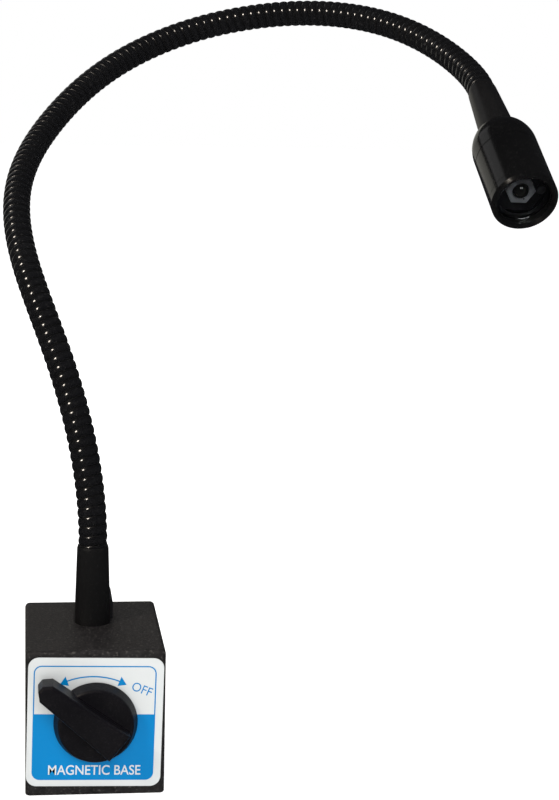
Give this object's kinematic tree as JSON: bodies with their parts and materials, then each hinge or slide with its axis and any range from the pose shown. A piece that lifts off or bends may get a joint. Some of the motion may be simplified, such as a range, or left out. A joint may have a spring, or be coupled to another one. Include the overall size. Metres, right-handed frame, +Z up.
{
  "type": "gooseneck work lamp on magnetic base",
  "caption": "Work lamp: a small spot head on a bending coiled neck, held by a switchable magnet block with a lever knob and a printed label.",
  "frame": {"origin": "middle of the magnet face, the underside of the block", "axes": "+Z up, -Y towards the label and knob, +X to the right seen from the front"},
  "size_m": [0.2013, 0.2097, 0.2884],
  "materials": {
    "block_paint": "fine-textured black paint",
    "brass_strip": "ground flush, painted over above",
    "plain_steel": "zinc-plated",
    "soft_iron": "turned",
    "ferrite": "sintered magnet",
    "brass": "turned",
    "turned_aluminium": "turned, bare",
    "printed_label": "printed film, white and blue",
    "knob_plastic": "moulded black, satin",
    "pod_plastic": "moulded black",
    "nickel": "nickel-plated",
    "neck_coil": "gloss black coil",
    "lead_rubber": "two-core sheath",
    "black_ferrule": "black anodised, satin",
    "black_anodised": "black anodised, semi-gloss",
    "lens_glass": "clear, polished",
    "seal_rubber": "matt",
    "board_metal": "star board",
    "led_ceramic": "pale ceramic",
    "led_silicone": "clear over the phosphor"
  },
  "bodies": {
    "base": {"front_bearing": "brass", "inlet_pin": "brass", "inlet_pod": "pod_plastic", "inlet_sleeve": "nickel", "label_plate": "printed_label", "lead_link_00": "lead_rubber", "lower_ferrule": "black_ferrule", "lower_grub_screw": "plain_steel", "neck_link_00": "neck_coil", "pole_left": "block_paint", "pole_right": "block_paint", "rear_plate": "turned_aluminium", "rear_screw_1": "plain_steel", "rear_screw_2": "plain_steel", "strip_bottom": "brass_strip", "strip_top": "brass_strip", "tie_rod_1": "plain_steel", "tie_rod_2": "plain_steel", "tie_rod_3": "plain_steel", "tie_rod_4": "plain_steel"},
    "knob": {"knob": "knob_plastic", "knob_grub_screw": "plain_steel", "drive_shaft": "soft_iron", "rear_pivot": "brass", "rotor_magnet": "ferrite", "rotor_shoe_1": "soft_iron", "rotor_shoe_2": "soft_iron"},
    "neck_01": {"neck_link_01": "neck_coil", "lead_link_01": "lead_rubber"},
    "neck_02": {"neck_link_02": "neck_coil", "lead_link_02": "lead_rubber"},
    "neck_03": {"neck_link_03": "neck_coil", "lead_link_03": "lead_rubber"},
    "neck_04": {"neck_link_04": "neck_coil", "lead_link_04": "lead_rubber"},
    "neck_05": {"neck_link_05": "neck_coil", "lead_link_05": "lead_rubber"},
    "neck_06": {"neck_link_06": "neck_coil", "lead_link_06": "lead_rubber"},
    "neck_07": {"neck_link_07": "neck_coil", "lead_link_07": "lead_rubber"},
    "neck_08": {"neck_link_08": "neck_coil", "lead_link_08": "lead_rubber"},
    "neck_09": {"neck_link_09": "neck_coil", "lead_link_09": "lead_rubber"},
    "head": {"board_screw_1": "plain_steel", "board_screw_2": "plain_steel", "head_barrel": "black_anodised", "head_bezel": "black_anodised", "head_rear": "black_anodised", "lead_link_10": "lead_rubber", "led_board": "board_metal", "led_dome": "led_silicone", "led_package": "led_ceramic", "lens": "lens_glass", "lens_seal": "seal_rubber", "neck_link_10": "neck_coil", "upper_ferrule": "black_ferrule", "upper_grub_screw": "plain_steel"}
  },
  "joints": [
    {"name": "knob_turn", "type": "hinge", "parent": "base", "child": "knob", "pos_m": [0, -0.0308, 0.0277], "axis": [0, 1, 0], "range_deg": [0, 105]},
    {"name": "lift_01", "type": "hinge", "parent": "base", "child": "neck_01", "pos_m": [-0.00149, 0.00641, 0.10635], "axis": [0.7761, 0.6306, 0], "range_deg": [-20, 20]},
    {"name": "swing_02", "type": "hinge", "parent": "neck_01", "child": "neck_02", "pos_m": [-0.01171, 0.02115, 0.14871], "axis": [-0.4319, 0.7225, -0.5399], "range_deg": [-20, 20]},
    {"name": "lift_03", "type": "hinge", "parent": "neck_02", "child": "neck_03", "pos_m": [-0.02477, 0.04873, 0.18319], "axis": [0.9487, 0.3163, 0], "range_deg": [-20, 20]},
    {"name": "swing_04", "type": "hinge", "parent": "neck_03", "child": "neck_04", "pos_m": [-0.02732, 0.08526, 0.2108], "axis": [0.1001, 0.54, -0.8357], "range_deg": [-20, 20]},
    {"name": "lift_05", "type": "hinge", "parent": "neck_04", "child": "neck_05", "pos_m": [-0.01325, 0.12156, 0.23545], "axis": [0.8533, -0.5214, 0], "range_deg": [-20, 20]},
    {"name": "swing_06", "type": "hinge", "parent": "neck_05", "child": "neck_06", "pos_m": [0.01403, 0.15016, 0.25891], "axis": [0.393, 0.2579, -0.8826], "range_deg": [-20, 20]},
    {"name": "lift_07", "type": "hinge", "parent": "neck_06", "child": "neck_07", "pos_m": [0.05414, 0.16335, 0.2764], "axis": [0.0555, -0.9985, 0], "range_deg": [-20, 20]},
    {"name": "swing_08", "type": "hinge", "parent": "neck_07", "child": "neck_08", "pos_m": [0.09761, 0.15209, 0.28303], "axis": [0.006, -0.0036, -1], "range_deg": [-20, 20]},
    {"name": "lift_09", "type": "hinge", "parent": "neck_08", "child": "neck_09", "pos_m": [0.13173, 0.12203, 0.27689], "axis": [-0.7777, -0.6286, 0], "range_deg": [-20, 20]},
    {"name": "swing_10", "type": "hinge", "parent": "neck_09", "child": "head", "pos_m": [0.15175, 0.08406, 0.26059], "axis": [-0.1122, 0.4037, -0.908], "range_deg": [-20, 20]}
  ]
}
